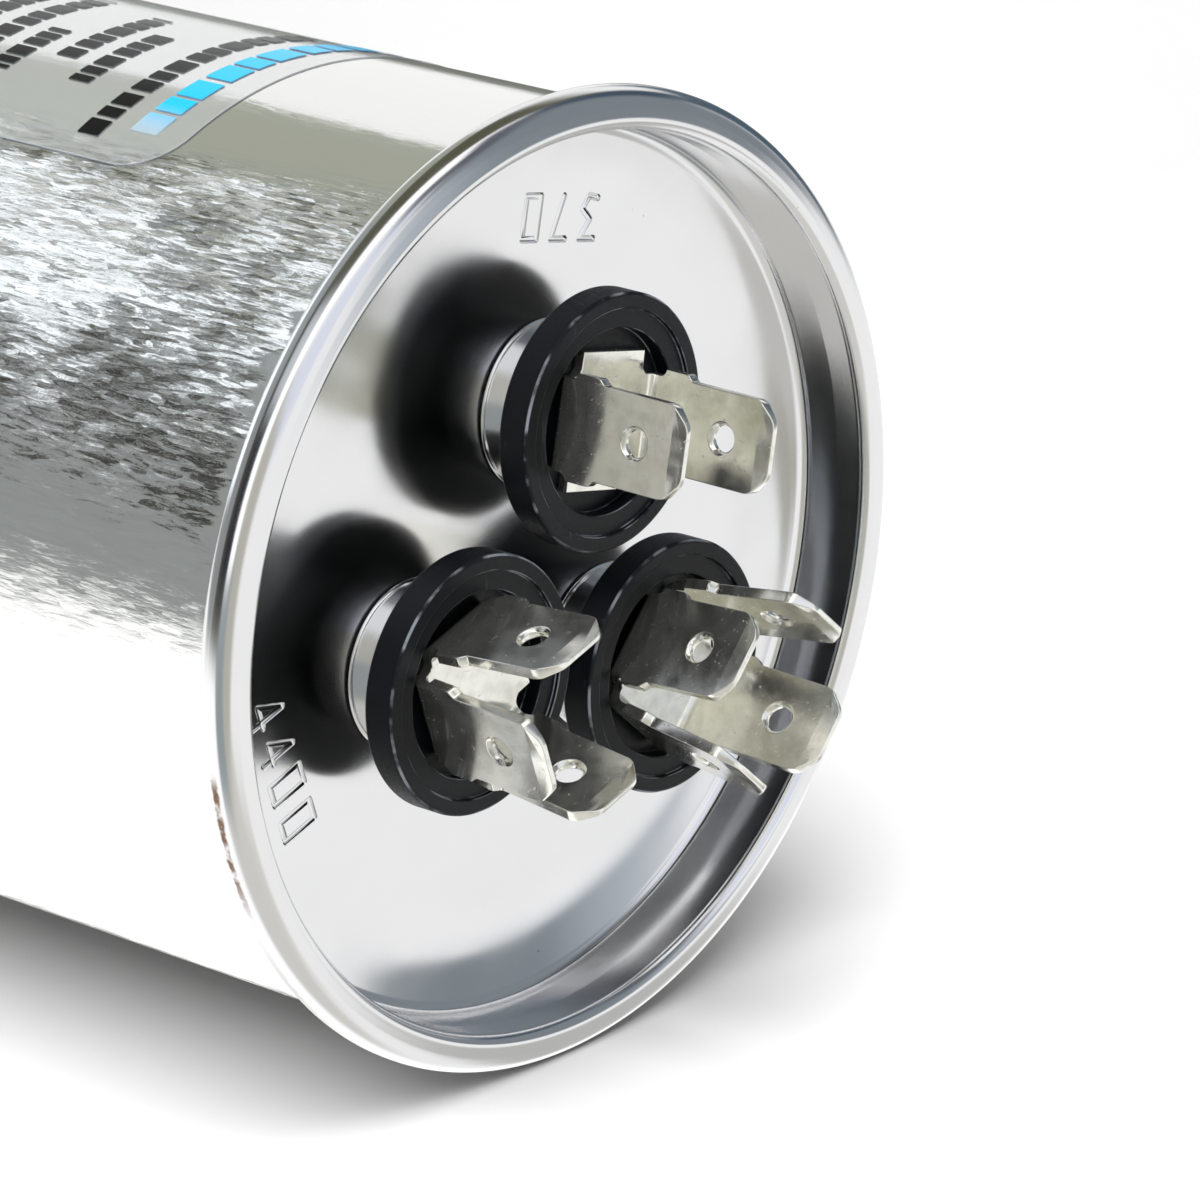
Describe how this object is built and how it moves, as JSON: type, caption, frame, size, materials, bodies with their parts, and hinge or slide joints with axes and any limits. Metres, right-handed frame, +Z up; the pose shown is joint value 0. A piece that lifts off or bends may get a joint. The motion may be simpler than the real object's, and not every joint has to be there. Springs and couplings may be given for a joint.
{
  "type": "dual run capacitor",
  "caption": "Round can-shaped motor run capacitor with a double-seamed lid, insulated quick-connect tab terminals and a printed clear label, with the wound film roll inside.",
  "frame": {"origin": "centre of the flat base that the can stands on", "axes": "+Z up the axis of the can towards the tabs; the fan terminal lies towards -Y, the compressor terminal towards +X, the common terminal towards -X and +Y"},
  "size_m": [0.067, 0.067, 0.1163],
  "materials": {
    "can_aluminium": "drawn, streaked along the axis",
    "lid_aluminium": "bright rolled sheet",
    "sealing_compound": "cured gasket compound",
    "label_film": "clear film with printed bars",
    "black_phenolic": "pressed phenolic sheet, fine scratches",
    "washer_phenolic": "pressed phenolic",
    "tinned_brass": "tin plated, bright",
    "stud_brass": "turned",
    "tinned_copper": "tin plated copper",
    "lead_insulation": "extruded plastic insulation",
    "core_plastic": "extruded tube",
    "metallised_film": "vacuum metallised film",
    "clear_wrap": "plain film",
    "sprayed_zinc": "arc sprayed, rough",
    "moulded_polypropylene": "moulded"
  },
  "bodies": {
    "root": {"bottom_cup": "moulded_polypropylene", "can": "can_aluminium", "common_end_spray": "sprayed_zinc", "common_insulator": "black_phenolic", "common_lead": "lead_insulation", "common_ring_terminal": "tinned_copper", "common_strip": "tinned_copper", "common_stud": "stud_brass", "common_terminal": "tinned_brass", "common_washer": "washer_phenolic", "compressor_end_spray": "sprayed_zinc", "compressor_insulator": "black_phenolic", "compressor_lead": "lead_insulation", "compressor_ring_terminal": "tinned_copper", "compressor_stud": "stud_brass", "compressor_terminal": "tinned_brass", "compressor_washer": "washer_phenolic", "compressor_winding": "metallised_film", "core_tube": "core_plastic", "fan_end_spray": "sprayed_zinc", "fan_insulator": "black_phenolic", "fan_lead": "lead_insulation", "fan_ring_terminal": "tinned_copper", "fan_stud": "stud_brass", "fan_terminal": "tinned_brass", "fan_washer": "washer_phenolic", "fan_winding": "metallised_film", "label_film": "label_film", "lid": "lid_aluminium", "outer_wrap": "clear_wrap", "seam_compound": "sealing_compound", "section_wrap": "clear_wrap", "spacer_cap": "moulded_polypropylene"}
  },
  "joints": []
}
